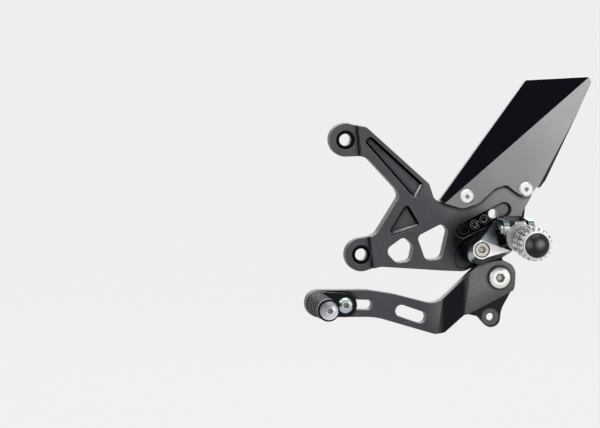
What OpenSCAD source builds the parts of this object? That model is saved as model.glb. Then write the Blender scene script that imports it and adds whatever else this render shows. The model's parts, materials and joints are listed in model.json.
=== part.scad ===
// Rear-set motorcycle footrest, gear-shift side, to be bolted to the frame.
// Millimetres. X forward to back along the plate, Y into the motorcycle, Z up.
// The origin is on the upper frame bolt's axis, in the plane of the plate's back face.

/* [Main plate] */
// thickness of the main plate
plate_t = 10; // [9:0.5:12]
// thickness left at the two frame bosses
boss_t = 6.5; // [5.5:0.5:8]
// outer radius of each frame boss
boss_r = 11.8; // [11:0.1:13]
// frame bolt hole radius
frame_hole_r = 4.25; // [4:0.05:4.5]
// counterbore radius round each frame bolt hole
frame_cbore_r = 7; // [6.4:0.1:8]
// counterbore depth
frame_cbore_d = 1.6; // [1:0.1:2.5]
// lower frame bolt, distance behind the upper one
lower_hole_x = 11.5; // [9:0.5:13]
// lower frame bolt, distance below the upper one
lower_hole_z = 81.7; // [79:0.1:84]
// depth of the two closed pockets
pocket_d = 3; // [2:0.25:3.5]
// slant of the pockets' walls, degrees
pocket_slant = 35; // [20:1:38]
// height of the machined pad on the back of each frame boss
pad_h = 0.6; // [0.3:0.1:1]

/* [Adjuster row] */
// distance between neighbouring holes
row_pitch = 7.9; // [7.8:0.05:8.4]
// slope of the row, degrees
row_slope = 27; // [25:0.5:29]
// hole radius in the row
row_hole_r = 3.3; // [3.2:0.05:3.4]
// depth of the oblong recess
row_recess_d = 3; // [2.5:0.25:4]
// radius of the recess ends
row_recess_r = 5.4; // [5:0.1:5.8]
// thickness of the plate clamped behind
back_plate_t = 7; // [6:0.5:9]
// cap screw head radius
row_head_r = 3.8; // [3.6:0.05:3.9]

/* [Heel guard] */
// sheet thickness
guard_t = 3.2; // [2.5:0.1:3.6]
// angle by which the front facet bends back, degrees
guard_bend = 24; // [18:1:28]
// angle by which the rear wing bends back, degrees
wing_bend = 45; // [38:1:52]
// widest reach of the rear wing
wing_w = 6.5; // [5:0.25:7.5]
// screw head radius
guard_head_r = 5.2; // [4.6:0.1:5.6]

/* [Peg holder] */
// height of the holder over the plate's front face
holder_h = 22; // [20:0.5:24]
// radius of the holder's round end
holder_r = 8.9; // [8.5:0.1:9.2]
// slope of the holder's arm, degrees
arm_slope = 36; // [33:0.5:38]
// width of the rim round the bolt's counterbore
ring_wall = 0.9; // [0.7:0.1:1.2]
// spread of the flanks below the front face, per mm of depth
flank = 0.45; // [0.35:0.05:0.5]
// depth of the milled seat
seat_d = 1; // [0.6:0.1:1.5]
// holder bolt shank radius
holder_bolt_r = 4; // [3.5:0.1:4.4]
// holder bolt head radius
holder_head_r = 5.2; // [4.9:0.1:5.5]
// thickness of each ear
ear_t = 4; // [3.5:0.25:4.5]
// radius of the ears round the hinge pin
ear_r = 6.5; // [6:0.1:6.8]
// hinge pin radius
pin_r = 2.5; // [2.25:0.05:2.8]

/* [Footpeg] */
// length of the barrel
peg_len = 50; // [45:1:60]
// number of teeth round the barrel
peg_teeth = 18; // [16:1:20]
// height of the teeth over the barrel's body
tooth_h = 2.5; // [2:0.1:2.8]
// height of the plain collars over the barrel's body
collar_h = 1.1; // [0.8:0.1:1.3]
// wall of the smooth rim round the end cap
rim_wall = 0.9; // [0.7:0.1:1.1]
// tongue thickness
tongue_t = 8; // [7:0.25:9]
// radius of the end cap, which the barrel follows
cap_r = 8.9; // [8.5:0.1:9.3]
// height of the cap's dome
cap_dome = 4.6; // [3.5:0.1:5.5]

/* [Shift lever] */
// lever thickness
lever_t = 8; // [7:0.25:9]
// outward step of the toe half
lever_step = 8.4; // [7:0.2:10]
// radius of the pivot end
lever_eye_r = 11.4; // [11:0.1:12]
// radius of the toe end
lever_toe_r = 9.6; // [9:0.1:10.2]
// lever bearing bore radius
bush_r = 5; // [4.5:0.1:5.5]
// wall of the bearing
bush_wall = 1.5; // [1.2:0.1:2]
// pivot bolt head radius
pivot_head_r = 7.6; // [7:0.1:8.2]
// rod hole radius
rod_hole_r = 2.7; // [2.5:0.05:3]
// thickness of the rod tab
rod_tab_t = 4; // [3:0.25:5]
// width of the toe slot
slot_w = 7.2; // [6.8:0.1:7.6]

/* [Toe peg] */
// thickness of the carrier
carrier_t = 5; // [4:0.25:6]
// radius of the carrier ends
carrier_r = 8.5; // [8:0.1:9]
// from clamp screw to toe peg
carrier_len = 19.9; // [18:0.1:21]
// clamp screw head radius
clamp_head_r = 5.5; // [5:0.1:6]
// outer radius of the ribbed sleeve
sleeve_r = 7.9; // [7.2:0.1:8.4]
// length of the sleeve
sleeve_len = 38; // [32:0.5:42]
// radius of the spindle inside the sleeve
spindle_r = 4.5; // [4:0.1:5]
// how much wider the sleeve is at the lever than at its free end
sleeve_flare = 0.7; // [0:0.1:0.9]
// depth of the grooves between the ribs
groove_d = 1.5; // [0.8:0.1:1.8]
// number of ribs along the sleeve
sleeve_ribs = 7; // [5:1:9]
// end screw head radius
toe_head_r = 6.6; // [6:0.1:6.9]

/* [Hidden] */
// running clearance of a shaft in its hole
run = 0.05;
// clearance between faces of pieces that move past each other
face_gap = 0.3;
// clearance of a screw in its hole
loose = 0.1;
// clearance under the clamped carrier and its nut
clamp_gap = 0.15;
// largest angle between points of a rounded corner
arc_step = 9;

front_y = -plate_t;
row_dir = [cos(row_slope), sin(row_slope)];
row_end = [114.1, -51.6];
row_first = [106.7, -54.6];
row_depth = plate_t - row_recess_d;

holder_c = [93.1, -77.3];
holder_y0 = front_y + seat_d;
holder_y1 = front_y - holder_h;
wall_y = front_y - 8;

peg_x = 120.2;
peg_z = -69;
hinge_y = holder_y1 + 6;
hinge_z = peg_z + 5;
slot_half = tongue_t / 2 + 3;
peg_y0 = hinge_y - ear_r - 1.5;
peg_y1 = peg_y0 - peg_len;

pivot_c = [108.5, -98.7];
washer_t = 0.8;
washer_y = front_y - washer_t;
lever_y0 = washer_y - face_gap;
lever_y1 = lever_y0 - lever_t;
toe_y0 = lever_y0 - lever_step;
toe_y1 = toe_y0 - lever_t;
bolt_seat_y = lever_y1 - face_gap;

rod_c = [103, -127.2];
clamp_c = [-5.9, -114];
slot_end = [11.2, -114.8];
toe_c = [clamp_c[0] - carrier_len, -112.6];
carrier_y0 = toe_y1 - clamp_gap;
carrier_y1 = carrier_y0 - carrier_t;
sleeve_y1 = carrier_y1 - sleeve_len;

guard_y0 = front_y;
fold_a = [73.3, -44.3];
fold_b = [174.3, 40.3];
guard_screws_at = [[86.3, -41.2], [129.3, -37]];

// corner helpers for outlines given as [x, z, radius]
function unit(v) = v / norm(v);
function flat(p) = [p[0], p[1]];
function arc_points(c, r, a0, d, n) =
    [for (i = [0:n]) c + r * [cos(a0 + d * i / n), sin(a0 + d * i / n)]];
function turn(d) = d > 180 ? d - 360 : (d < -180 ? d + 360 : d);
function corner(a, b, c, r) =
    let (u = unit(a - b), w = unit(c - b), half = acos(u * w) / 2)
    let (mid = b + unit(u + w) * r / sin(half))
    let (s = b + u * r / tan(half) - mid, e = b + w * r / tan(half) - mid)
    let (a0 = atan2(s[1], s[0]), d = turn(atan2(e[1], e[0]) - a0))
    arc_points(mid, r, a0, d, max(2, ceil(abs(d) / arc_step)));
function rounded(pts) =
    let (n = len(pts))
    [for (i = [0:n - 1])
        each pts[i][2] > 0
            ? corner(flat(pts[(i + n - 1) % n]), flat(pts[i]), flat(pts[(i + 1) % n]), pts[i][2])
            : [flat(pts[i])]];

module outline(pts) {
    polygon(rounded(pts));
}

// an outline in X and Z, extruded from the plane y towards the rider
module slab(y, t) {
    translate([0, y, 0])
        rotate([90, 0, 0])
            linear_extrude(t)
                children();
}

// a round bar along Y from the plane y towards the rider
module bar(c, y, t, r, r2 = -1) {
    translate([c[0], y, c[1]])
        rotate([90, 0, 0])
            cylinder(h = t, r1 = r, r2 = r2 < 0 ? r : r2, $fn = 64);
}

// a turned shape on an axis along Y, its profile as [radius, distance out]
module turned(c, y, pts) {
    translate([c[0], y, c[1]])
        rotate([90, 0, 0])
            rotate_extrude($fn = 96)
                polygon(pts);
}

module hex_bar(c, y, t, across) {
    translate([c[0], y, c[1]])
        rotate([90, 0, 0])
            cylinder(h = t, r = across / sqrt(3), $fn = 6);
}

module oblong(a, b, r) {
    d = b - a;
    side = atan2(d[1], d[0]) + 90;
    polygon(concat(arc_points(a, r, side, 180, 30), arc_points(b, r, side + 180, 180, 30)));
}

lower_c = [lower_hole_x, -lower_hole_z];

plate_pts = [
    [-1, boss_r - 0.1, 0], [14.3, 9.2, 4], [59.8, -32, 3], [61.6, -37.5, 4],
    [64.5, -46.5, 7], [75.5, -43.5, 4], [85, -35.5, 6], [111, -31.5, 12],
    [133, -30.4, 2.5], [136, -36, 2.5], [133.4, -43.8, 4], [127.2, -54, 7],
    [126.6, -65, 6], [113.2, -80, 8], [113.2, -90, 2], [112, -104, 4],
    [101, -104, 4], [97.5, -90.3, 4], [84.8, -94.9, 12], [69.7, -94, 30],
    [24.2, -90.1, 14], [13, -93.5, 0], [8, -70.5, 0], [20.9, -68.2, 10],
    [38.4, -40.6, 4.5], [35.7, -35.2, 5], [13.9, -11.6, 10], [-1, -boss_r + 0.1, 0]];

pocket_pts = [[12.4, -0.6, 2.6], [17.4, 3.1, 2.6], [56, -32.4, 2.4], [50, -43.5, 2.6]];
tri_pts = [[43.5, -44.6, 2.6], [53.9, -62, 2.6], [27.8, -69.8, 2.3]];
win1_pts = [[27.6, -78.6, 4.5], [41.6, -68.8, 4.5], [48.6, -76, 4.5], [46.4, -87, 5], [36, -88, 6]];
win2_pts = [[51, -69.2, 3.5], [68.9, -60.4, 3.8], [73.7, -65.6, 4.2], [69, -86, 5.4], [57.2, -86.6, 5]];

// a closed pocket with slanted walls, its corners listed clockwise
module pocket(pts) {
    n = len(pts);
    difference() {
        slab(front_y + pocket_d, plate_t) outline(pts);
        for (i = [0:n - 1])
            let (a = flat(pts[i]), d = flat(pts[(i + 1) % n]) - a)
                translate([a[0], front_y + 0.25, a[1]])
                    rotate([0, -atan2(d[1], d[0]), 0])
                        rotate([-pocket_slant, 0, 0])
                            translate([-20, -20, 0])
                                cube([norm(d) + 40, 40, 20]);
    }
}

module plate_bores() {
    for (c = [[0, 0], lower_c]) {
        bar(c, pad_h + 1, plate_t + 3, frame_hole_r);
        bar(c, -boss_t + frame_cbore_d, plate_t, frame_cbore_r);
    }
    for (i = [0:3])
        bar(row_first - i * row_pitch * row_dir, 1, plate_t + 2, row_hole_r);
    bar(holder_c, 1, plate_t + 2, holder_bolt_r + loose);
    bar(pivot_c, 1, plate_t + 2, holder_bolt_r + loose);
    for (c = guard_screws_at)
        bar(c, 1, plate_t + 2, 2.5);
}

// the plate is thinner at the frame bosses, behind a slightly tilted step
module boss_steps() {
    for (c = [[0, 0, 9.7], [lower_c[0], lower_c[1], 7.5]])
        translate([c[0] + c[2], -boss_t, c[1]])
            rotate([0, -6, 0])
                translate([-40, -plate_t, -18])
                    cube([40, plate_t, 36]);
}

module main_bracket() {
    color([0.16, 0.16, 0.17])
    difference() {
        union() {
            slab(0, plate_t) outline(plate_pts);
            for (c = [[0, 0], lower_c]) {
                bar(c, 0, boss_t, boss_r);
                bar(c, pad_h, boss_t, boss_r - 1);
            }
            bar(pivot_c, 0, plate_t, 10);
        }
        boss_steps();
        plate_bores();
        pocket(pocket_pts);
        pocket(tri_pts);
        slab(1, plate_t + 2) outline(win1_pts);
        slab(1, plate_t + 2) outline(win2_pts);
        slab(front_y + row_recess_d, plate_t)
            oblong(row_end, row_first - 3.15 * row_pitch * row_dir, row_recess_r);
        slab(front_y + seat_d, plate_t) outline(seat_pts);
    }
}

// the holder's foot: a round end a little below the bolt, an arm and the clevis
foot_slope = 17;
end_c = holder_c + [0.1, -2.9];
ring_r = holder_head_r + 0.4 + ring_wall;
holder_pts = concat(
    arc_points(end_c, holder_r, 90 + arm_slope, 180 - arm_slope + foot_slope, 20),
    [[110.5, -84.2], [115.5, -79.6], [130.4, -77.6], [131.6, -76], [131.6, -59.6],
        [130.4, -58.4], [109, -58.4]]);
// the milled seat follows it and leaves room to set it lower
seat_pts = [
    [77.6, -83, 4], [80.8, -74.4, 5], [110, -56.6, 3], [140, -56.6, 1], [140, -86.2, 1],
    [108, -86.2, 3], [92, -93.6, 5], [79.2, -93.2, 4.4]];

module adjuster_plate() {
    back_pts = [[80, -60, 5], [124.5, -38.5, 5], [133, -42, 5], [130.8, -62, 8],
        [120, -84, 6], [86, -88.5, 6], [84, -76, 8]];
    color([0.1, 0.1, 0.11])
    difference() {
        slab(back_plate_t, back_plate_t) outline(back_pts);
        bar(row_first, back_plate_t + 1, back_plate_t + 2, row_hole_r + 2);
        for (i = [1:2])
            bar(row_first - i * row_pitch * row_dir, back_plate_t + 1, back_plate_t + 2, 3 + loose);
        bar(holder_c, back_plate_t + 1, back_plate_t + 2, holder_bolt_r + loose);
    }
}

// a socket cap screw that points into the motorcycle, head towards the rider
module cap_screw(c, seat_y, head_r, head_h, shank_r, reach, key) {
    difference() {
        union() {
            turned(c, seat_y, [[0, 0], [head_r, 0], [head_r, head_h - 0.5],
                [head_r - 0.5, head_h], [0, head_h]]);
            bar(c, seat_y + reach, reach + 0.5, shank_r);
        }
        hex_bar(c, seat_y - head_h + head_h * 0.6, head_h, key);
    }
}

module adjuster_screws() {
    color([0.05, 0.05, 0.05])
    for (i = [1:2])
        cap_screw(row_first - i * row_pitch * row_dir, front_y + row_recess_d, row_head_r, 4,
            3, row_depth + back_plate_t, 3.6);
}

// the guard's outline seen from the rider's side, both facets together
guard_pts = [
    [66.8, -43.8, 0.6], [131.6, 39.4, 2], [175, 42, 2.5], [176.8, 38.2, 2],
    [135.4, -38.2, 3], [128.2, -43, 2.5], [121.2, -38.4, 4], [115.4, -33.6, 4],
    [107, -35.8, 8], [95.2, -46.4, 9], [83.5, -49.9, 8], [70.6, -45.8, 3]];
wing_a = [177.2, 39];
wing_b = [135.6, -37.8];
wing_dir = unit(wing_b - wing_a);
wing_out = [-wing_dir[1], wing_dir[0]];
wing_len = norm(wing_b - wing_a);

function wing_pt(along, out) = wing_a + along * wing_dir + out * wing_out;
wing_pts = [
    concat(wing_pt(4, -1.5), [0]), concat(wing_pt(4, 0.2), [0]),
    concat(wing_pt(wing_len - 10, wing_w * cos(wing_bend)), [5]),
    concat(wing_pt(wing_len - 2, wing_w * cos(wing_bend) * 0.6), [2.5]),
    concat(wing_pt(wing_len - 3, -1.5), [0])];

// a bent strip, its bend on the back face, as [distance across the bend, y]
function strip(across, bend, t) = [
    [-across, guard_y0], [0, guard_y0], [across, guard_y0 + across * tan(bend)],
    [across, guard_y0 + across * tan(bend) - t / cos(bend)],
    [t * tan(bend / 2), guard_y0 - t], [-across, guard_y0 - t]];

// carries that strip along a line in the plate's plane, its free side turned by angle
module strip_along(p, angle, across, bend) {
    translate([p[0], 0, p[1]])
        rotate([0, angle, 0])
            translate([0, 0, -160])
                linear_extrude(320)
                    polygon(strip(across, bend, guard_t));
}

module heel_guard() {
    fold_turn = atan2(fold_b[1] - fold_a[1], fold_b[0] - fold_a[0]);
    color([0.42, 0.42, 0.43])
    difference() {
        union() {
            intersection() {
                slab(20, 40) outline(guard_pts);
                strip_along(fold_a, -90 - fold_turn, 80, guard_bend);
            }
            intersection() {
                slab(20, 40) outline(wing_pts);
                strip_along(wing_a, atan2(-wing_out[1], wing_out[0]), 12, wing_bend);
            }
        }
        for (c = guard_screws_at)
            bar(c, guard_y0 + 1, guard_t + 2, 2.5 + loose);
    }
}

module guard_screws() {
    color([0.78, 0.78, 0.8])
    for (c = guard_screws_at)
        difference() {
            union() {
                turned(c, guard_y0 - guard_t, [[0, 0], [guard_head_r, 0], [guard_head_r, 0.7],
                    [guard_head_r - 1, 1.7], [0, 1.7]]);
                bar(c, 0, plate_t + guard_t + 0.5, 2.5 - run);
            }
            hex_bar(c, guard_y0 - guard_t - 0.7, 3, 3);
        }
}

// the arm is cut off at a slant towards the clevis
module holder_slant() {
    translate([holder_c[0], holder_y1, holder_c[1] + 6.6])
        rotate([0, 41.4, -65.1])
            translate([-60, -60, 0])
                cube([120, 120, 60]);
}

// the front face is a ring and a long point, with flanks that spread towards the plate
module holder_flanks() {
    h = holder_y0 - holder_y1 + 1;
    turned(holder_c, holder_y1 + h,
        [[0, 0], [ring_r + flank * h, 0], [ring_r, h], [0, h]]);
    translate([holder_c[0], holder_y1, holder_c[1]])
        rotate([0, -14.5, 0])
            rotate([90, 0, 90])
                linear_extrude(60)
                    polygon([[0, 0.4 - ring_r], [0, 40], [h, 40], [h, 0.4 - ring_r - flank * h]]);
}

module ear(x) {
    translate([x, hinge_y, hinge_z])
        rotate([0, 90, 0])
            cylinder(h = ear_t, r = ear_r, $fn = 64);
    translate([x, hinge_y, hinge_z - ear_r])
        cube([ear_t, holder_y0 - hinge_y, 2 * ear_r]);
}

module peg_holder() {
    color([0.8, 0.82, 0.84])
    difference() {
        union() {
            difference() {
                intersection() {
                    slab(holder_y0, holder_y0 - holder_y1) polygon(holder_pts);
                    holder_flanks();
                }
                holder_slant();
                // the lever swings behind the outer half
                translate([80, lever_y1 - 0.4, -100])
                    cube([60, 20, 100 + holder_c[1] - 8.1]);
                translate([105.8, holder_y1 - 1, -76])
                    cube([40, wall_y - holder_y1 + 1, 40]);
                translate([115, holder_y1 - 1, -100])
                    cube([40, wall_y - holder_y1 + 1, 60]);
            }
            ear(peg_x - slot_half - ear_t);
            ear(peg_x + slot_half);
        }
        bar(holder_c, holder_y0 + 1, holder_h + 4, holder_bolt_r + loose);
        bar(holder_c, holder_y1 + 4.5, 10, ring_r - ring_wall);
        translate([peg_x - 30, hinge_y, hinge_z])
            rotate([0, 90, 0])
                cylinder(h = 60, r = pin_r + loose, $fn = 64);
    }
}

module holder_washer() {
    color([0.7, 0.66, 0.58])
    turned(holder_c, holder_y1 + 4.5, [[holder_bolt_r + loose, 0], [holder_head_r + 0.3, 0],
        [holder_head_r + 0.3, 1], [holder_bolt_r + loose, 1]]);
}

module holder_bolt() {
    color([0.72, 0.68, 0.6])
    cap_screw(holder_c, holder_y1 + 3.5, holder_head_r, 3.4, holder_bolt_r,
        -(holder_y1 + 3.5) + back_plate_t, 5);
}

pin_x0 = peg_x - slot_half - ear_t;
pin_x1 = peg_x + slot_half + ear_t;

module hinge_pin() {
    color([0.75, 0.74, 0.72])
    translate([pin_x0, hinge_y, hinge_z])
        rotate([0, 90, 0]) {
            difference() {
                union() {
                    cylinder(h = pin_x1 - pin_x0 + 1.9, r = pin_r, $fn = 64);
                    translate([0, 0, -1.6])
                        cylinder(h = 1.6, r1 = 3, r2 = 3.6, $fn = 64);
                }
                translate([0, 0, pin_x1 - pin_x0 + 0.1])
                    difference() {
                        cylinder(h = 0.8, r = pin_r + 1, $fn = 64);
                        translate([0, 0, -1])
                            cylinder(h = 3, r = pin_r - 0.5, $fn = 64);
                    }
            }
        }
}

module pin_clip() {
    color([0.2, 0.2, 0.2])
    translate([pin_x1 + 0.1, hinge_y, hinge_z])
        rotate([0, 90, 0])
            difference() {
                cylinder(h = 0.8, r = pin_r + 1.6, $fn = 64);
                translate([0, 0, -1])
                    cylinder(h = 3, r = pin_r - 0.5, $fn = 64);
                translate([-1.2, 0, -1])
                    cube([2.4, 10, 3]);
            }
}

spring_wire = 0.6;
spring_r = pin_r + spring_wire + 0.05;
spring_turns = 3;
spring_x = peg_x - slot_half + spring_wire;
module fold_spring() {
    color([0.6, 0.6, 0.62])
    union() {
        translate([spring_x, hinge_y, hinge_z])
            rotate([0, 90, 0])
                rotate_extrude($fn = 96)
                    translate([spring_r, 0])
                        for (i = [0:spring_turns - 1])
                            translate([0, i * 1.9 * spring_wire])
                                circle(r = spring_wire, $fn = 48);
        translate([spring_x, hinge_y, hinge_z + spring_r])
            rotate([-90, 0, 0])
                cylinder(h = wall_y - hinge_y, r = spring_wire * 0.95, $fn = 48);
    }
}

// the barrel's plain collars and toothed bands, as [from, to] in parts of its length
core_r = cap_r + 0.4;
tooth_r = core_r + tooth_h;
collars = [[0, 0.05], [0.1, 0.145], [0.2, 0.215], [0.26, 0.275], [0.32, 0.335], [0.41, 0.46]];
bands = [[0.49, 0.57], [0.6, 0.68], [0.77, 0.85], [0.87, 0.94]];
last_collar = [0.705, 0.745];

// one ring on the barrel's profile, its corners broken, as [radius, distance out]
function ring(span, r) =
    let (a = span[0] * peg_len, b = span[1] * peg_len, c = min(0.4, (b - a) / 3))
    [[core_r, a], [r, a + c], [r, b - c], [core_r, b]];

collar_r = core_r + collar_h;
barrel_pts = concat(
    [[0, 0]],
    [for (k = collars) each ring(k, collar_r)],
    [for (i = [0:1]) each ring(bands[i], tooth_r)],
    ring(last_collar, collar_r),
    [for (i = [2:3]) each ring(bands[i], tooth_r)],
    [[core_r, peg_len * 0.955], [cap_r + rim_wall, peg_len * 0.965],
        [cap_r + rim_wall, peg_len - 0.5], [cap_r + rim_wall - 0.4, peg_len],
        [cap_r - 1, peg_len], [cap_r - 1, peg_len - 6], [0, peg_len - 6]]);

// the gap between two teeth, cut along each pair of toothed bands
module tooth_gap() {
    foot = core_r + 0.25;
    half = (PI * tooth_r / peg_teeth - 0.6) * (tooth_r + 1 - foot) / (tooth_r - foot);
    for (i = [0, 2])
        translate([0, 0, bands[i][0] * peg_len])
            linear_extrude((bands[i + 1][1] - bands[i][0]) * peg_len)
                polygon([[foot, 0], [tooth_r + 1, -half], [tooth_r + 1, half]]);
}

module peg_barrel() {
    color([0.78, 0.8, 0.82])
    union() {
        difference() {
            turned([peg_x, peg_z], peg_y0, barrel_pts);
            for (i = [0:peg_teeth - 1])
                translate([peg_x, peg_y0, peg_z])
                    rotate([90, 360 / peg_teeth * i, 0])
                        tooth_gap();
        }
        tongue();
    }
}

module tongue() {
    x0 = peg_x - tongue_t / 2 + 1.2;
    difference() {
        union() {
            translate([x0, hinge_y, hinge_z])
                rotate([0, 90, 0])
                    cylinder(h = tongue_t, r = ear_r - 0.5, $fn = 64);
            translate([x0, peg_y0 - 0.5, hinge_z - 5])
                cube([tongue_t, hinge_y - peg_y0 + 0.5, 5]);
            translate([x0, peg_y0 - 0.5, peg_z - 8])
                cube([tongue_t, wall_y - face_gap - peg_y0 + 0.5, 8]);
        }
        translate([x0 - 1, hinge_y, hinge_z])
            rotate([0, 90, 0])
                cylinder(h = tongue_t + 2, r = pin_r + run, $fn = 64);
    }
}

module peg_end_cap() {
    dome_r = (cap_r * cap_r + cap_dome * cap_dome) / (2 * cap_dome);
    color([0.04, 0.04, 0.045])
    turned([peg_x, peg_z], peg_y1, concat(
        [[0, -6], [cap_r - 1, -6], [cap_r - 1, 0], [cap_r, 0]],
        [for (i = [1:8])
            let (a = asin(cap_r / dome_r) * (1 - i / 8))
            [dome_r * sin(a), dome_r * cos(a) - dome_r + cap_dome]]));
}

lever_pts = [
    [toe_c[0] - lever_toe_r + 2.6, -103.3, 9.2], [12, -104.4, 30], [30, -107.6, 40],
    [58, -115.3, 12], [64.6, -112.8, 14], [95.6, -88.2, 10],
    [pivot_c[0], pivot_c[1] + lever_eye_r + 0.8, lever_eye_r - 0.5],
    [pivot_c[0] + lever_eye_r + 1, pivot_c[1] + lever_eye_r - 2, lever_eye_r - 2],
    [120, -106, 9], [111, -122, 16],
    [109.7, -133, 6], [101.5, -135.4, 6], [93.6, -126.5, 4],
    [84, -124.3, 5], [67.6, -136.2, 4], [60, -136.9, 8], [16.6, -123.4, 40],
    [toe_c[0] - lever_toe_r + 2.6, -122.6, 9.2]];

module shift_lever() {
    color([0.17, 0.17, 0.18])
    difference() {
        intersection() {
            slab(-1, 60) outline(lever_pts);
            lever_profile();
        }
        bar(pivot_c, 0, 40, bush_r + bush_wall);
        bar(rod_c, 0, 40, rod_hole_r);
        bar(rod_c, lever_y0 - rod_tab_t + 0.6, 4, rod_hole_r + 0.2, rod_hole_r + 3);
        slab(0, 60) oblong(clamp_c, slot_end, slot_w / 2);
        slab(0, 60) oblong([35.7, -119.7], [49.3, -124.6], 4.3);
        rod_step();
    }
}

// the stepped strip as seen from above, tilted like the two fold lines
module lever_profile() {
    translate([75, 0, -113])
        rotate([0, 8, 0])
            translate([-75, 0, -45])
                linear_extrude(90)
                    polygon([[150, lever_y0], [150, lever_y1], [85, lever_y1], [65.5, toe_y1],
                        [-60, toe_y1], [-60, toe_y0], [65.5 + lever_t * 0.19, toe_y0],
                        [85 + lever_t * 0.19, lever_y0]]);
}

// the rod tab is thinner, behind a step
module rod_step() {
    translate([90.4, lever_y0 - rod_tab_t, -122.2])
        rotate([0, -26, 0])
            translate([-7, -40, -30])
                cube([60, 40, 30]);
}

module lever_bushing() {
    color([0.62, 0.47, 0.28])
    turned(pivot_c, lever_y0, [[bush_r, 0], [bush_r + bush_wall, 0],
        [bush_r + bush_wall, lever_t], [bush_r, lever_t]]);
}

module lever_washer() {
    color([0.7, 0.7, 0.72])
    turned(pivot_c, front_y, [[holder_bolt_r + loose, 0], [8, 0], [8, washer_t],
        [holder_bolt_r + loose, washer_t]]);
}

module lever_pivot_bolt() {
    head = 3.6;
    color([0.78, 0.77, 0.74])
    difference() {
        union() {
            turned(pivot_c, bolt_seat_y, [[0, 0], [pivot_head_r, 0], [pivot_head_r, head - 1.4],
                [pivot_head_r - 0.9, head - 0.5], [pivot_head_r - 2.4, head], [0, head]]);
            bar(pivot_c, washer_y, washer_y - bolt_seat_y + 0.5, bush_r - run);
            bar(pivot_c, 7, 7 - washer_y + 0.5, holder_bolt_r);
        }
        hex_bar(pivot_c, bolt_seat_y - head + 2.4, 4, 6);
    }
}

module pivot_nut() {
    color([0.6, 0.6, 0.62])
    difference() {
        union() {
            hex_bar(pivot_c, 6.5, 5.3, 13);
            bar(pivot_c, 1.2, 1.2, 8);
        }
        bar(pivot_c, 9, 12, holder_bolt_r);
    }
}

module toe_carrier() {
    color([0.06, 0.06, 0.065])
    difference() {
        union() {
            slab(carrier_y0, carrier_t) oblong(toe_c + [1.6, 0], clamp_c, carrier_r);
            bar(clamp_c, toe_y1 + 3, 3.5, slot_w / 2 - face_gap);
        }
        bar(clamp_c, 0, 60, 3 + run);
        bar(toe_c, 0, 60, 3 + run);
    }
}

module carrier_screw() {
    color([0.72, 0.76, 0.74])
    difference() {
        union() {
            turned(clamp_c, carrier_y1, [[0, 0], [clamp_head_r, 0], [clamp_head_r, 1.2],
                [clamp_head_r - 1.2, 2.6], [clamp_head_r - 2.6, 3.1], [0, 3.1]]);
            bar(clamp_c, toe_y0 + 6, lever_t + carrier_t + 6.5, 3);
        }
        hex_bar(clamp_c, carrier_y1 - 1.3, 3, 4);
    }
}

module carrier_nut() {
    color([0.7, 0.7, 0.7])
    difference() {
        union() {
            hex_bar(clamp_c, toe_y0 + 5.2, 4.2, 10);
            bar(clamp_c, toe_y0 + 1 + clamp_gap, 1, 6.2);
        }
        bar(clamp_c, toe_y0 + 8, 12, 3);
    }
}

module toe_peg_spindle() {
    color([0.7, 0.7, 0.72])
    difference() {
        union() {
            bar(toe_c, carrier_y1, sleeve_len, spindle_r);
            bar(toe_c, carrier_y1 + 4, 4.5, 3);
        }
        bar(toe_c, sleeve_y1 + 12, 20, 2.5);
    }
}

// ribbed rubber sleeve
rib_pitch = (sleeve_len - 5) / sleeve_ribs;
sleeve_pts = concat(
    [[spindle_r, 0], [sleeve_r + sleeve_flare - 0.6, 0], [sleeve_r + sleeve_flare, 0.6],
        [sleeve_r + sleeve_flare, 1.6]],
    [for (i = [0:sleeve_ribs - 1])
        let (y = 1.8 + i * rib_pitch, crest = sleeve_r - 0.1 + sleeve_flare * (1 - (i + 1) / sleeve_ribs))
        each [[crest - groove_d, y + 0.2 * rib_pitch], [crest - groove_d, y + 0.5 * rib_pitch],
            [crest, y + 0.62 * rib_pitch], [crest, y + 0.95 * rib_pitch]]],
    [[sleeve_r, sleeve_len - 2.4], [sleeve_r, sleeve_len - 0.7], [sleeve_r - 0.7, sleeve_len],
        [spindle_r, sleeve_len]]);

module toe_peg_sleeve() {
    color([0.08, 0.08, 0.085])
    turned(toe_c, carrier_y1, sleeve_pts);
}

module toe_peg_end_screw() {
    color([0.82, 0.83, 0.85])
    difference() {
        union() {
            turned(toe_c, sleeve_y1, [[0, 0], [toe_head_r, 0], [toe_head_r, 0.8],
                [toe_head_r - 0.8, 2], [toe_head_r - 2.4, 3], [toe_head_r - 4.2, 3.4], [0, 3.4]]);
            bar(toe_c, sleeve_y1 + 11, 11.5, 2.5);
        }
        hex_bar(toe_c, sleeve_y1 - 1.4, 3, 4);
    }
}

main_bracket();
adjuster_plate();
adjuster_screws();
heel_guard();
guard_screws();
peg_holder();
holder_bolt();
holder_washer();
hinge_pin();
pin_clip();
fold_spring();
peg_barrel();
peg_end_cap();
shift_lever();
lever_bushing();
lever_washer();
lever_pivot_bolt();
pivot_nut();
toe_carrier();
carrier_screw();
carrier_nut();
toe_peg_spindle();
toe_peg_sleeve();
toe_peg_end_screw();
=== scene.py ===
"""Looks for the rear set footrest: the materials of each piece, then the camera, floor and light round it.

Places and sizes of the part are in millimetres, and MM turns them into Blender's metres. X runs to the
motorcycle's rear, Y into the motorcycle and Z up, so what faces the viewer has a normal towards -Y.
"""

import json
import math

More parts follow.
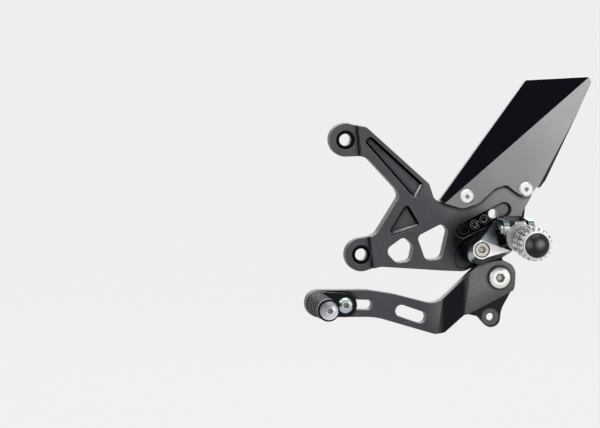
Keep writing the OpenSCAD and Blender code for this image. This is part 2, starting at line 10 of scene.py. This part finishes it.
import bpy
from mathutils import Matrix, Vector


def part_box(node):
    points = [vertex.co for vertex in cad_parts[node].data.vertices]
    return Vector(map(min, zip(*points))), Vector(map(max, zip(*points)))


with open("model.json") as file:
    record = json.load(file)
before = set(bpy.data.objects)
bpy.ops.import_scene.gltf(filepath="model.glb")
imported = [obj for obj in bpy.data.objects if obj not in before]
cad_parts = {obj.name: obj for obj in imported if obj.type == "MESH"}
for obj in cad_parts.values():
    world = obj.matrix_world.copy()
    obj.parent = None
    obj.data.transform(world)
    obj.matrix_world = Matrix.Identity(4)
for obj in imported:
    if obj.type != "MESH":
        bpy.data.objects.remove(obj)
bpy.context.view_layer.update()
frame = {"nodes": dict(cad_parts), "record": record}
nodes = frame["nodes"]

MM = 0.001


# Places in the part, taken from the frame


def in_mm(place):
    return [value / MM for value in place]


def box_mm(node):
    """The lowest and the highest corner of a CAD node."""
    low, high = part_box(node)
    return in_mm(low), in_mm(high)


def axis_of(node):
    """X and Z of the axis of a round piece that lies along Y."""
    low, high = box_mm(node)
    return (low[0] + high[0]) / 2, (low[2] + high[2]) / 2


def axis_of_bore(name):
    """X and Z of the axis of one of the record's bores, which all run along Y."""
    bore = next(mount for mount in frame["record"]["mounts"] if mount["name"] == name)
    x, _, z = in_mm(bore["pos_m"])
    return x, z


def away_from(axis, face):
    """How far a face's middle is from an axis along Y."""
    x, _, z = in_mm(face.center)
    return math.hypot(x - axis[0], z - axis[1])


# Which way a face looks

# share of a face's normal towards the viewer from which it counts as flat, and as nearly flat
FLAT, NEARLY_FLAT = 0.98, 0.9


def looks_out(face, least, most=math.inf):
    """Whether the share of a face's normal towards the viewer is between the two."""
    return least < -face.normal.y < most


# Materials and how they are made

# cosine between the true normal and the rounded one: where an edge starts and where it counts in full
EDGE_COSINES = (0.995, 0.9)
# share of open sky: where the painted shade of grooves and pockets starts and where it counts in full
HOLLOW_SKY = (0.95, 0.65)
# rays for each rounded edge and for each hollow
EDGE_SAMPLES = 8
# length of one band of Blender's wave texture at scale 1
WAVE_BAND = math.pi / 10
# noise values between which the grain and the clouds darken, and the most that they do
LINE_SPAN, LINE_SHARE, LINE_DETAIL = (0.35, 0.7), 0.7, 5.0
CLOUD_SPAN, CLOUD_SHARE, CLOUD_DETAIL = (0.4, 0.7), 0.5, 3.0
CLOUD_GRAIN = (0.05, 0.05, 0.05)
# how far the grain spreads the roughness, and the noise values where it does
ROUGH_SPAN, ROUGH_SPREAD = (0.3, 0.7), 0.15
# how much of the colour wear_and_glint, painted highlight and worn metal, a full edge shows
WEAR_AND_GLINT_SHARE = 0.8
# relief of the grain in millimetres
GRAIN_DEPTH = 0.02


def grey(value):
    return (value, value, value)


class Shader:
    """A material with a few helpers for the node tree round its Principled shader."""

    def __init__(self, name, colour, metallic, roughness):
        self.material = bpy.data.materials.new(name)
        self.material.use_nodes = True
        self.tree = self.material.node_tree
        self.principled = self.tree.nodes["Principled BSDF"]
        self.colour = (*colour, 1.0)
        self.principled.inputs["Base Color"].default_value = self.colour
        self.principled.inputs["Metallic"].default_value = metallic
        self.principled.inputs["Roughness"].default_value = roughness
        self.place = self.tree.nodes.new("ShaderNodeTexCoord").outputs["Object"]
        self.tint = None
        self.normal = None

    def node(self, kind, **values):
        made = self.tree.nodes.new(kind)
        for key, value in values.items():
            setattr(made, key, value)
        return made

    def link(self, out, into):
        self.tree.links.new(out, into)

    def noise(self, grain, detail, turn=(0, 0, 0)):
        """A noise whose lines are long where grain, its fineness per millimetre, is small."""
        mapping = self.node("ShaderNodeMapping")
        mapping.inputs["Rotation"].default_value = turn
        mapping.inputs["Scale"].default_value = [fineness / MM for fineness in grain]
        self.link(self.place, mapping.inputs["Vector"])
        noise = self.node("ShaderNodeTexNoise")
        noise.inputs["Scale"].default_value = 1.0
        noise.inputs["Detail"].default_value = detail
        self.link(mapping.outputs["Vector"], noise.inputs["Vector"])
        return noise.outputs["Fac"]

    def ramp(self, value, low, high, out_low=0.0, out_high=1.0):
        """Goes from out_low to out_high while value goes from low to high."""
        span = self.node("ShaderNodeMapRange")
        for key, number in zip(("From Min", "From Max", "To Min", "To Max"), (low, high, out_low, out_high)):
            span.inputs[key].default_value = number
        self.link(value, span.inputs["Value"])
        return span.outputs["Result"]

    def along(self, direction, start, end):
        """Rises from 0 to 1 while the place's dot product with a direction goes from start to end."""
        dot = self.node("ShaderNodeVectorMath", operation="DOT_PRODUCT")
        self.link(self.place, dot.inputs[0])
        dot.inputs[1].default_value = direction
        return self.ramp(dot.outputs["Value"], start * MM, end * MM)

    def around(self, centre, start, end):
        """Rises from 0 to 1 while the distance from a place goes from start to end."""
        away = self.node("ShaderNodeVectorMath", operation="DISTANCE")
        self.link(self.place, away.inputs[0])
        away.inputs[1].default_value = [value * MM for value in centre]
        return self.ramp(away.outputs["Value"], start * MM, end * MM)

    def mix(self, factor, colour, how="MIX"):
        """Lays another colour over the present one where factor is high."""
        blend = self.node("ShaderNodeMix", data_type="RGBA", blend_type=how)
        self.link(factor, blend.inputs["Factor"])
        if self.tint is None:
            blend.inputs["A"].default_value = self.colour
        else:
            self.link(self.tint, blend.inputs["A"])
        blend.inputs["B"].default_value = (*colour, 1.0)
        self.tint = blend.outputs["Result"]
        self.link(self.tint, self.principled.inputs["Base Color"])

    def bump(self, height, strength, depth):
        """Adds a relief that is depth millimetres deep at strength 1."""
        relief = self.node("ShaderNodeBump")
        relief.inputs["Strength"].default_value = strength
        relief.inputs["Distance"].default_value = depth * MM
        self.link(height, relief.inputs["Height"])
        self.link(self.normal, relief.inputs["Normal"])
        self.normal = relief.outputs["Normal"]
        self.link(self.normal, self.principled.inputs["Normal"])

    def round_edges(self, width):
        """Rounds the edges' shading over that width and returns a mask of where they are."""
        soft = self.node("ShaderNodeBevel", samples=EDGE_SAMPLES)
        soft.inputs["Radius"].default_value = width * MM
        self.normal = soft.outputs["Normal"]
        self.link(self.normal, self.principled.inputs["Normal"])
        flat = self.node("ShaderNodeNewGeometry")
        cosine = self.node("ShaderNodeVectorMath", operation="DOT_PRODUCT")
        self.link(self.normal, cosine.inputs[0])
        self.link(flat.outputs["Normal"], cosine.inputs[1])
        return self.ramp(cosine.outputs["Value"], *EDGE_COSINES)

    def painted_hollow_shade(self, reach):
        """High in grooves, pockets and corners narrower than about that reach, which take painted shade."""
        sky = self.node("ShaderNodeAmbientOcclusion", samples=EDGE_SAMPLES)
        sky.inputs["Distance"].default_value = reach * MM
        return self.ramp(sky.outputs["AO"], *HOLLOW_SKY)

    def thread(self, pitch, depth=0.4, root_shade_span=(0.45, 0.1), root_shade=grey(0.08)):
        """Screw thread: rings round the screw's own axis, which lies along Y, with painted shade in the
        roots.
        """
        rings = self.node("ShaderNodeTexWave", wave_type="BANDS", bands_direction="Y", wave_profile="TRI")
        rings.inputs["Scale"].default_value = WAVE_BAND / (pitch * MM)
        rings.inputs["Distortion"].default_value = 0.0
        self.link(self.place, rings.inputs["Vector"])
        self.bump(rings.outputs["Fac"], 1.0, depth)
        self.mix(self.ramp(rings.outputs["Fac"], *root_shade_span), root_shade)


ALONG, AROUND = Shader.along, Shader.around


def metal(name, colour, roughness, *, grain=(2.0, 2.0, 2.0), turn=(0, 0, 0), streak=0.24, fine=0.06,
          edge=0.35, wear_and_glint=None, hollow_shade=None, reach=3.0, tints=(), metallic=1.0):
    """Machined metal or, with metallic at 0, plastic or rubber.

    grain is how fine its brushing is along each axis after turn, per millimetre, streak how much darker the
    brushing's lines are and fine how deep. Its edges are rounded over the width edge and take the colour
    wear_and_glint, painted highlight and worn metal. Hollows narrower than reach take the colour
    hollow_shade, painted shade. Each of tints lays a colour over it: ALONG a direction, or AROUND a place,
    from start to end.
    """
    made = Shader(name, colour, metallic, roughness)
    edges = made.round_edges(edge)
    for mask, where, start, end, tint in tints:
        made.mix(mask(made, where, start, end), tint)
    lines = made.noise(grain, LINE_DETAIL, turn)
    clouds = made.noise(CLOUD_GRAIN, CLOUD_DETAIL)
    dark = grey(1 - streak)
    made.mix(made.ramp(lines, *LINE_SPAN, 0.0, LINE_SHARE), dark, "MULTIPLY")
    made.mix(made.ramp(clouds, *CLOUD_SPAN, 0.0, CLOUD_SHARE), dark, "MULTIPLY")
    # painted shade in grooves, pockets and corners
    if hollow_shade is not None:
        made.mix(made.painted_hollow_shade(reach), hollow_shade)
    # painted highlight and worn metal along the rounded edges
    if wear_and_glint is not None:
        made.mix(made.ramp(edges, 0.0, 1.0, 0.0, WEAR_AND_GLINT_SHARE), wear_and_glint)
    smoothest, roughest = roughness * (1 - ROUGH_SPREAD), roughness * (1 + ROUGH_SPREAD)
    made.link(made.ramp(lines, *ROUGH_SPAN, smoothest, roughest), made.principled.inputs["Roughness"])
    made.bump(lines, fine, GRAIN_DEPTH)
    return made


def set_shine(shader, level):
    """Sets how much plastic or rubber mirrors, where 0.5 is usual."""
    shader.principled.inputs["Specular IOR Level"].default_value = level


def paint(node, *shaders, choose=None):
    """Gives a CAD node its materials. choose(face) says which of them a face takes, otherwise the first."""
    mesh = nodes[node].data
    mesh.materials.clear()
    for shader in shaders:
        mesh.materials.append(shader.material)
    for face in mesh.polygons:
        face.material_index = shaders.index(choose(face)) if choose else 0


# Screws and other small steel pieces

# a socket's faces lie deeper than this below the head's top
SOCKET_LIP = 0.25
# from there, how deep the socket's faces lie at most, and the thread's at least
SOCKET_DEPTH, THREAD_START = 4.2, 3.0
# how far from the axis a socket's faces lie at most, as a share of its hexagon's width
SOCKET_REACH = 0.56
# how far from the axis the faces of a socket's bottom lie at most
BOTTOM_REACH = 2.4
# a shank's faces lie within its radius and this, and the share of their normal along Y is below that
SHANK_ROOM, SHANK_TILT = 0.15, 0.1
# distances from the middle of a drilled bottom at which its painted glint starts and is full
PAINTED_GLINT_RADII = (2.1, 0.6)

bolt_steel = metal("bolt_steel", (0.82, 0.8, 0.77), 0.26, edge=0.6, wear_and_glint=(0.9, 0.88, 0.86))
pin_steel = metal("pin_steel", (0.5, 0.49, 0.47), 0.22, edge=0.3, wear_and_glint=grey(0.9))
spring_steel = metal("spring_steel", (0.05, 0.05, 0.055), 0.3, edge=0.1)
# painted shade inside the sockets
socket_painted_shade = metal("socket_painted_shade", (0.2, 0.21, 0.22), 0.3, edge=0.3, wear_and_glint=grey(0.8))
thread_steel = metal("thread_steel", (0.6, 0.58, 0.54), 0.3, edge=0.1)
thread_steel.thread(pitch=1.0)


def socket_with_painted_glint(node):
    """A hexagon socket in painted shade, with a painted glint on its drilled bottom."""
    x, z = axis_of(node)
    bottom = min(in_mm(face.center)[1] for face in nodes[node].data.polygons
                 if looks_out(face, NEARLY_FLAT) and away_from((x, z), face) < BOTTOM_REACH)
    return metal(node + "_socket", (0.17, 0.15, 0.13), 0.3, edge=0.3, wear_and_glint=(0.7, 0.66, 0.6),
                 tints=[(AROUND, (x, bottom, z), *PAINTED_GLINT_RADII, (0.5, 0.47, 0.43))])


def paint_screw(node, head, socket, hexagon, shank, axes=None):
    """Paints a screw with a socket of that hexagon, whose faces take the socket's painted shade, and a thread
    round a shank of that radius.
    """
    low, _ = box_mm(node)
    top = low[1] + SOCKET_LIP
    axes = axes or [axis_of(node)]

    def choose(face):
        below = in_mm(face.center)[1] - top
        away = min(away_from(axis, face) for axis in axes)
        if 0 < below < SOCKET_DEPTH and away < hexagon * SOCKET_REACH:
            return socket
        if abs(face.normal.y) < SHANK_TILT and away < shank + SHANK_ROOM and below > THREAD_START:
            return thread_steel
        return head

    paint(node, head, socket, thread_steel, choose=choose)


# Main bracket

FRAME_BOLTS = [axis_of_bore("upper_frame_bore"), axis_of_bore("lower_frame_bore")]
# the frame bolts' holes and counterbores lie within this radius and behind this Y
COUNTERBORE_REACH, COUNTERBORE_FRONT = 7.3, -6.9
# how far the slanted walls look out
SLANTED_WALL = (0.3, NEARLY_FLAT)
# the slanted walls that take the painted highlight look up by more than this, and to the rear by less than
# that
LIT_UP, LIT_REAR = 0.3, 0.25
# lowest and highest corner of a box round the floor and the holes of the adjuster row
ROW_LOW, ROW_HIGH = (76, -8, -72), (121, -0.1, -40)
# middle of the painted shadow round the holder's foot
HOLDER_FOOT_SHADOW = (90, -10, -72)

# painted light and shade: lighter towards the adjuster row, a plain grey on the upper arm, and a painted
# shadow round the holder's foot
bracket_black = metal(
    "bracket_black", (0.075, 0.078, 0.084), 0.4, grain=(2.4, 2.4, 0.1), turn=(0, math.radians(-40), 0),
    wear_and_glint=(0.3, 0.3, 0.32), edge=0.45, hollow_shade=(0.004, 0.004, 0.005), reach=4,
    tints=[(ALONG, (0.8, 0, 0.6), 20, 85, grey(0.28)),
           (ALONG, (-1, 0, 1), -30, 30, grey(0.1)),
           (AROUND, HOLDER_FOOT_SHADOW, 25, 11, (0.007, 0.007, 0.008))])
# painted shade in the frame bolts' holes and counterbores and on the pockets' slanted walls
bracket_painted_shade = metal("bracket_painted_shade", (0.006, 0.006, 0.007), 0.3, edge=0.3, wear_and_glint=grey(0.12))
# painted shade on the adjuster row's floor and holes, lighter towards the row's rear end
adjuster_row_painted_shade = metal(
    "adjuster_row_painted_shade", (0.008, 0.008, 0.009), 0.3, edge=0.3, wear_and_glint=grey(0.2), hollow_shade=grey(0.004),
    tints=[(ALONG, (1, 0, 0), 101, 106, grey(0.14))])
# painted highlight at the foot of the slanted walls that face the top light, dark at their rim
bracket_painted_highlight = metal(
    "bracket_painted_highlight", (0.006, 0.006, 0.007), 0.35, edge=0.2,
    tints=[(ALONG, (0, 1, 0), -9, -8.2, (0.85, 0.85, 0.87))])
plate_black = metal("plate_black", (0.02, 0.02, 0.022), 0.45, wear_and_glint=(0.2, 0.2, 0.21))
screw_black = metal("screw_black", (0.008, 0.008, 0.009), 0.16, wear_and_glint=grey(0.9), edge=0.3)


def bracket_side(face):
    """The bolt holes and slanted walls take painted shade, but walls that face the top light take a painted
    highlight at their foot.
    """
    place = in_mm(face.center)
    bolt_away = min(away_from(bolt, face) for bolt in FRAME_BOLTS)
    if bolt_away < COUNTERBORE_REACH and place[1] > COUNTERBORE_FRONT:
        return bracket_painted_shade
    if looks_out(face, *SLANTED_WALL):
        return bracket_painted_highlight if face.normal.z > LIT_UP and face.normal.x < LIT_REAR else bracket_painted_shade
    in_row = all(low < at < high for low, at, high in zip(ROW_LOW, place, ROW_HIGH))
    return adjuster_row_painted_shade if in_row else bracket_black


paint("main_bracket", bracket_black, bracket_painted_shade, adjuster_row_painted_shade, bracket_painted_highlight, choose=bracket_side)
paint("adjuster_plate", plate_black)
paint("adjuster_screws", screw_black)


# Heel guard

# X and Z of the axes of the guard's two screws
GUARD_SCREWS = [(86.3, -41.2), (129.3, -37)]
# the share of the normal along Y is below this for the edges cut straight through the sheet
CUT_TILT = 0.02

# painted light: lighter towards the top rear
guard_grey = metal(
    "guard_grey", grey(0.2), 0.36, grain=(0.8, 1.6, 3.0), turn=(0, math.radians(60), 0),
    wear_and_glint=grey(0.6), edge=0.25, streak=0.15, fine=0.03, tints=[(ALONG, (0.7, 0, 0.7), 40, 140, grey(0.32))])
# painted shade on the front facet, the rear wing and the back, which are the same sheet as the grey middle
guard_painted_shade = metal("guard_painted_shade", (0.007, 0.007, 0.011), 0.3, wear_and_glint=grey(0.35), edge=0.25)
screw_bright = metal("screw_bright", (0.74, 0.74, 0.73), 0.42, edge=0.3, streak=0.06, fine=0.01)


def guard_side(face):
    """The flat middle and its cut edges are grey, the front facet, the rear wing and the back take painted
    shade.
    """
    return guard_grey if looks_out(face, FLAT) or abs(face.normal.y) < CUT_TILT else guard_painted_shade


paint("heel_guard", guard_grey, guard_painted_shade, choose=guard_side)
paint_screw("guard_screws", screw_bright, socket_painted_shade, hexagon=3, shank=2.5, axes=GUARD_SCREWS)


# Peg holder with its bolt, pin and spring

# the front face lies farther out than this Y
HOLDER_FRONT = -25
# how far the slanted cut looks out, and up at least
CUT_OUT, CUT_UP = (0.4, NEARLY_FLAT), 0.5
# the clevis lies behind this X and above this Z, and its top looks up by more than that
CLEVIS_X, CLEVIS_Z, CLEVIS_UP = 104, -82, 0.7

# painted highlight on the front face and the clevis' top
holder_painted_highlight = metal("holder_painted_highlight", (0.98, 0.98, 0.97), 0.3, grain=(0.1, 2.0, 2.0), edge=0.3)
# painted light and shade across the slanted cut: light at its lower left, dark bluish towards the clevis
holder_cut = metal(
    "holder_cut", (0.74, 0.78, 0.8), 0.3, grain=(0.1, 2.0, 2.0), edge=0.3, wear_and_glint=grey(0.85),
    tints=[(ALONG, (0.7, 0, 0.7), 15, 24, (0.12, 0.165, 0.18))])
holder_wall = metal(
    "holder_wall", (0.5, 0.54, 0.56), 0.24, grain=(0.05, 0.8, 0.8), streak=0.6, edge=0.4,
    wear_and_glint=grey(0.9), hollow_shade=grey(0.1), reach=1.5)
# painted shade inside the clevis
holder_painted_shade = metal("holder_painted_shade", (0.015, 0.015, 0.018), 0.3, edge=0.4, wear_and_glint=grey(0.6))
bolt_warm = metal("bolt_warm", (0.62, 0.58, 0.5), 0.22, edge=0.4, wear_and_glint=(0.95, 0.93, 0.9),
                  hollow_shade=(0.06, 0.05, 0.03), reach=2.5)


def holder_side(face):
    """The front face and the clevis' top take a painted highlight, the slanted cut a bluish painted gradient,
    the clevis painted shade, walls grey.
    """
    x, y, z = in_mm(face.center)
    if looks_out(face, NEARLY_FLAT) and y < HOLDER_FRONT:
        return holder_painted_highlight
    if looks_out(face, *CUT_OUT) and face.normal.z > CUT_UP:
        return holder_cut
    if x > CLEVIS_X and z > CLEVIS_Z:
        return holder_painted_highlight if face.normal.z > CLEVIS_UP else holder_painted_shade
    return holder_wall


paint("peg_holder", holder_painted_highlight, holder_cut, holder_wall, holder_painted_shade, choose=holder_side)
paint_screw("holder_bolt", bolt_warm, socket_with_painted_glint("holder_bolt"), hexagon=6, shank=4)
paint("holder_washer", bolt_warm)
paint("hinge_pin", pin_steel)
paint("pin_clip", spring_steel)
paint("fold_spring", spring_steel)


# Footpeg

PEG_AXIS = axis_of("peg_end_cap")
# a flank of a ring or tooth has more than this share of its normal along Y
RING_FLANK = 0.5
# other faces within this radius are the core
CORE_RADIUS = 9.8
# flanks within this radius and behind this Y, which spares the ring next to the cap, take the same painted
# shade
FLANK_RADIUS, FLANK_Y = 10.3, -80
# the two places of the painted glints on the cap
CAP_PAINTED_GLINT_LEFT, CAP_PAINTED_GLINT_RIGHT = (114, -85.8, -68.3), (121.7, -88.4, -67.9)

# painted shade on the teeth's upper right
barrel_silver = metal(
    "barrel_silver", (0.7, 0.71, 0.74), 0.24, grain=(2.0, 0.2, 2.0), edge=0.3, wear_and_glint=grey(0.98),
    tints=[(ALONG, (0.85, 0, 0.5), 77.2, 78.8, (0.05, 0.05, 0.055))])
# painted shade on the core and at the foot of the flanks, lighter on the collars near the holder
barrel_painted_shade = metal(
    "barrel_painted_shade", (0.12, 0.125, 0.14), 0.3, grain=(2.0, 0.2, 2.0), edge=0.25,
    hollow_shade=(0.03, 0.03, 0.035), reach=2, wear_and_glint=(0.8, 0.8, 0.82),
    tints=[(ALONG, (0, 1, 0), -60, -57, (0.5, 0.505, 0.53))])
# painted highlights at two places on the black cap
cap_black = metal(
    "cap_black", (0.006, 0.006, 0.009), 0.22, metallic=0.0, edge=0.3,
    tints=[(AROUND, CAP_PAINTED_GLINT_LEFT, 3.8, 0.5, (0.18, 0.18, 0.185)),
           (AROUND, CAP_PAINTED_GLINT_RIGHT, 4.6, 0.3, (0.28, 0.28, 0.285))])
set_shine(cap_black, 0.3)


def barrel_side(face):
    """The rings and teeth are bright, the core and the foot of their flanks take painted shade."""
    away = away_from(PEG_AXIS, face)
    if abs(face.normal.y) < RING_FLANK:
        return barrel_painted_shade if away < CORE_RADIUS else barrel_silver
    return barrel_painted_shade if away < FLANK_RADIUS and face.center.y > FLANK_Y * MM else barrel_silver


paint("peg_barrel", barrel_silver, barrel_painted_shade, choose=barrel_side)
paint("peg_end_cap", cap_black)


# Shift lever with its pivot

ROD_HOLE = axis_of_bore("rod_bore")
# of the lever's flat faces that look out, only the rod tab's lies behind this Y
TAB_FRONT = -17
# middle of the rod hole's mouth, and the distances from it between which the tab's grey turns dark
ROD_MOUTH, ROD_DARK = (ROD_HOLE[0], -15, ROD_HOLE[1]), (5.5, 6.5)
# how far the step between the lever's halves looks out, and to the rear at least
STEP_OUT, STEP_REAR = (0.5, FLAT), 0.25

# painted light and shade: lighter in steps towards the rear end, darker low down towards the rod tab
lever_black = metal(
    "lever_black", (0.07, 0.07, 0.08), 0.38, grain=(0.1, 2.4, 2.4), turn=(0, math.radians(8), 0),
    wear_and_glint=(0.24, 0.24, 0.27), edge=0.45, hollow_shade=(0.01, 0.01, 0.012), reach=3,
    tints=[(ALONG, (1, 0, 0), 54, 63, (0.115, 0.115, 0.12)),
           (ALONG, (1, 0, 0), 80, 88, (0.15, 0.15, 0.155)),
           (ALONG, (0.5, 0, -1), 152, 178, (0.04, 0.04, 0.045))])
# painted shade on the step that faces away from the light, lighter at both its ends
lever_painted_shade = metal(
    "lever_painted_shade", (0.013, 0.013, 0.017), 0.34, edge=0.6, wear_and_glint=(0.1, 0.1, 0.11),
    tints=[(ALONG, (1, 0, 0), 67, 62, (0.07, 0.07, 0.08)),
           (ALONG, (1, 0, 0), 82, 88, (0.1, 0.1, 0.11))])
lever_tab = metal(
    "lever_tab", (0.1, 0.1, 0.105), 0.38, wear_and_glint=(0.24, 0.24, 0.27), edge=0.45,
    tints=[(AROUND, ROD_MOUTH, *ROD_DARK, (0.02, 0.02, 0.024))])
bush_bronze = metal("bush_bronze", (0.62, 0.47, 0.28), 0.3)
pivot_steel = metal("pivot_steel", (0.93, 0.91, 0.88), 0.4, edge=0.6, wear_and_glint=(0.9, 0.88, 0.86))


def lever_side(face):
    """The step that faces away from the light takes painted shade, and the rod tab has its own grey."""
    if looks_out(face, *STEP_OUT) and face.normal.x > STEP_REAR:
        return lever_painted_shade
    return lever_tab if looks_out(face, FLAT) and face.center.y > TAB_FRONT * MM else lever_black


paint("shift_lever", lever_black, lever_painted_shade, lever_tab, choose=lever_side)
paint("lever_bushing", bush_bronze)
paint("lever_washer", bolt_steel)
paint_screw("lever_pivot_bolt", pivot_steel, socket_with_painted_glint("lever_pivot_bolt"), hexagon=6, shank=4)
paint("pivot_nut", bolt_steel)


# Toe peg with its carrier

TOE_AXIS = axis_of("toe_peg_end_screw")
# faces within this radius are the bottoms of the sleeve's grooves
GROOVE_RADIUS = 7.25
# a rib's flank has more than this share of its normal along Y
RIB_FLANK = 0.2

carrier_black = metal("carrier_black", (0.012, 0.012, 0.014), 0.3, wear_and_glint=(0.12, 0.12, 0.13))
screw_zinc = metal("screw_zinc", (0.48, 0.55, 0.56), 0.25, edge=0.4, wear_and_glint=(0.9, 0.92, 0.92))
# painted shade towards the upper front
spindle_steel = metal(
    "spindle_steel", (0.84, 0.85, 0.86), 0.22, edge=0.5, wear_and_glint=grey(0.95),
    tints=[(ALONG, (0.6, 0, -0.8), 79, 68, (0.12, 0.14, 0.17))])
# painted shade on the lower side
sleeve_rubber = metal(
    "sleeve_rubber", (0.12, 0.12, 0.125), 0.4, metallic=0.0, edge=0.1, grain=(0.6, 0.1, 0.6),
    tints=[(ALONG, (0.3, 0, -1), 98, 112, (0.05, 0.05, 0.052))])
# painted shade in the grooves and on the ribs' flanks
sleeve_groove_painted_shade = metal("sleeve_groove_painted_shade", (0.004, 0.004, 0.005), 0.6, metallic=0.0, edge=0.1)
set_shine(sleeve_groove_painted_shade, 0.1)


def sleeve_side(face):
    """The tops of the ribs are lighter, the grooves between them take a nearly black painted shade."""
    deep = away_from(TOE_AXIS, face) < GROOVE_RADIUS or abs(face.normal.y) > RIB_FLANK
    return sleeve_groove_painted_shade if deep else sleeve_rubber


paint("toe_carrier", carrier_black)
paint_screw("carrier_screw", screw_zinc, socket_with_painted_glint("carrier_screw"), hexagon=4, shank=3)
paint("carrier_nut", bolt_steel)
paint("toe_peg_spindle", spindle_steel)
paint("toe_peg_sleeve", sleeve_rubber, sleeve_groove_painted_shade, choose=sleeve_side)
paint_screw("toe_peg_end_screw", spindle_steel, socket_painted_shade, hexagon=4, shank=2.5)


# Camera, fitted to the photograph

PHOTO_SIZE = (600, 428)
# how far round to the motorcycle's front and how far up the camera stands
TURN, TILT = math.radians(13), math.radians(6.3)
# a place of the part, and the pixel of the photograph where it is
AIM, AIM_PIXEL = Vector((56.91, -24.8, -45.55)) * MM, (430, 205)
# how far from that place the camera stands, and how much of the part a pixel shows there
DISTANCE, PIXEL = 5000 * MM, 0.705 * MM
# width of the camera's sensor, in millimetres like its lens
SENSOR_WIDTH = 36
# how far the camera sees, in metres
FARTHEST = 100


def add_camera():
    right = Vector((math.cos(TURN), -math.sin(TURN), 0))
    up = Vector((math.sin(TURN) * math.sin(TILT), math.cos(TURN) * math.sin(TILT), math.cos(TILT)))
    eye = AIM + DISTANCE * right.cross(up)
    middle = (AIM + (PHOTO_SIZE[0] / 2 - AIM_PIXEL[0]) * PIXEL * right
              - (PHOTO_SIZE[1] / 2 - AIM_PIXEL[1]) * PIXEL * up)
    data = bpy.data.cameras.new("photo_camera")
    camera = bpy.data.objects.new("photo_camera", data)
    bpy.context.scene.collection.objects.link(camera)
    camera.location = eye
    camera.rotation_mode = "QUATERNION"
    camera.rotation_quaternion = (middle - eye).to_track_quat("-Z", "Y")
    data.sensor_width = SENSOR_WIDTH
    data.lens = SENSOR_WIDTH * (middle - eye).length / (PHOTO_SIZE[0] * PIXEL)
    data.clip_end = FARTHEST
    bpy.context.scene.camera = camera


# Pale floor and background

# brightness of the background, which is 238 of 255 in the picture
PALE = 0.855
# share of the light that the floor throws back, and how bright a white floor would be
FLOOR_SHARE, WHITE_FLOOR = 0.04, 0.7
# half of the floor's width, and its height, in metres
FLOOR_HALF, FLOOR_LEVEL = 30.0, -0.3
# strength of the world's light on the part
WORLD_LIGHT = 0.75


def background(tree):
    """1 for the rays that see the pale background: camera, mirror and glass rays."""
    rays = tree.nodes.new("ShaderNodeLightPath")
    seen = rays.outputs["Is Camera Ray"]
    for name in ("Is Glossy Ray", "Is Transmission Ray"):
        most = tree.nodes.new("ShaderNodeMath")
        most.operation = "MAXIMUM"
        tree.links.new(seen, most.inputs[0])
        tree.links.new(rays.outputs[name], most.inputs[1])
        seen = most.outputs["Value"]
    return seen


def floor_material():
    """Throws a little light back, and glows as pale as the background for the rays that see it."""
    material = bpy.data.materials.new("floor_pale")
    material.use_nodes = True
    tree = material.node_tree
    matte = tree.nodes["Principled BSDF"]
    matte.inputs["Base Color"].default_value = (*grey(FLOOR_SHARE), 1)
    matte.inputs["Roughness"].default_value = 1
    matte.inputs["Specular IOR Level"].default_value = 0
    glow = tree.nodes.new("ShaderNodeEmission")
    glow.inputs["Color"].default_value = (1, 1, 1, 1)
    strength = tree.nodes.new("ShaderNodeMath")
    strength.operation = "MULTIPLY"
    strength.inputs[1].default_value = PALE - WHITE_FLOOR * FLOOR_SHARE
    tree.links.new(background(tree), strength.inputs[0])
    tree.links.new(strength.outputs["Value"], glow.inputs["Strength"])
    both = tree.nodes.new("ShaderNodeAddShader")
    tree.links.new(matte.outputs["BSDF"], both.inputs[0])
    tree.links.new(glow.outputs["Emission"], both.inputs[1])
    tree.links.new(both.outputs["Shader"], tree.nodes["Material Output"].inputs["Surface"])
    return material


def add_floor():
    mesh = bpy.data.meshes.new("floor")
    corners = [(-1, -1), (1, -1), (1, 1), (-1, 1)]
    mesh.from_pydata([(x * FLOOR_HALF, y * FLOOR_HALF, FLOOR_LEVEL) for x, y in corners], [], [(0, 1, 2, 3)])
    floor = bpy.data.objects.new("floor", mesh)
    bpy.context.scene.collection.objects.link(floor)
    mesh.materials.append(floor_material())


def add_world():
    world = bpy.data.worlds.new("studio")
    bpy.context.scene.world = world
    world.use_nodes = True
    tree = world.node_tree
    sky = tree.nodes["Background"]
    sky.inputs["Color"].default_value = (1, 1, 1, 1)
    strength = tree.nodes.new("ShaderNodeMapRange")
    strength.inputs["To Min"].default_value = WORLD_LIGHT
    strength.inputs["To Max"].default_value = PALE
    tree.links.new(background(tree), strength.inputs["Value"])
    tree.links.new(strength.outputs["Result"], sky.inputs["Strength"])


# Lamps

# near the middle of the part, where every lamp points, in metres
LIT_PLACE = Vector((0.07, -0.03, -0.05))
# name, place, width and height in metres, power in watts
SOFTBOXES = [
    ("top_softbox", (0.1, -0.3, 1.0), (1.0, 0.8), 5),
    ("right_softbox", (1.0, -1.0, 0.2), (0.6, 1.0), 2),
    ("left_softbox", (-1.0, -0.4, 0.9), (0.5, 0.8), 2),
    ("front_softbox", (0.79, -1.9, 0.02), (0.45, 0.45), 2.4),
    ("side_softbox", (-1.24, -1.5, 0.02), (0.4, 0.4), 0.6),
    ("rear_softbox", (0.2, 1.1, 0.5), (1.0, 0.8), 4),
]


def add_softbox(name, place, size, power):
    data = bpy.data.lights.new(name, "AREA")
    data.shape = "RECTANGLE"
    data.size, data.size_y = size
    data.energy = power
    lamp = bpy.data.objects.new(name, data)
    bpy.context.scene.collection.objects.link(lamp)
    lamp.location = place
    lamp.rotation_mode = "QUATERNION"
    lamp.rotation_quaternion = (LIT_PLACE - Vector(place)).to_track_quat("-Z", "Y")


add_camera()
add_floor()
add_world()
for softbox in SOFTBOXES:
    add_softbox(*softbox)

bpy.context.scene.view_settings.view_transform = "Standard"
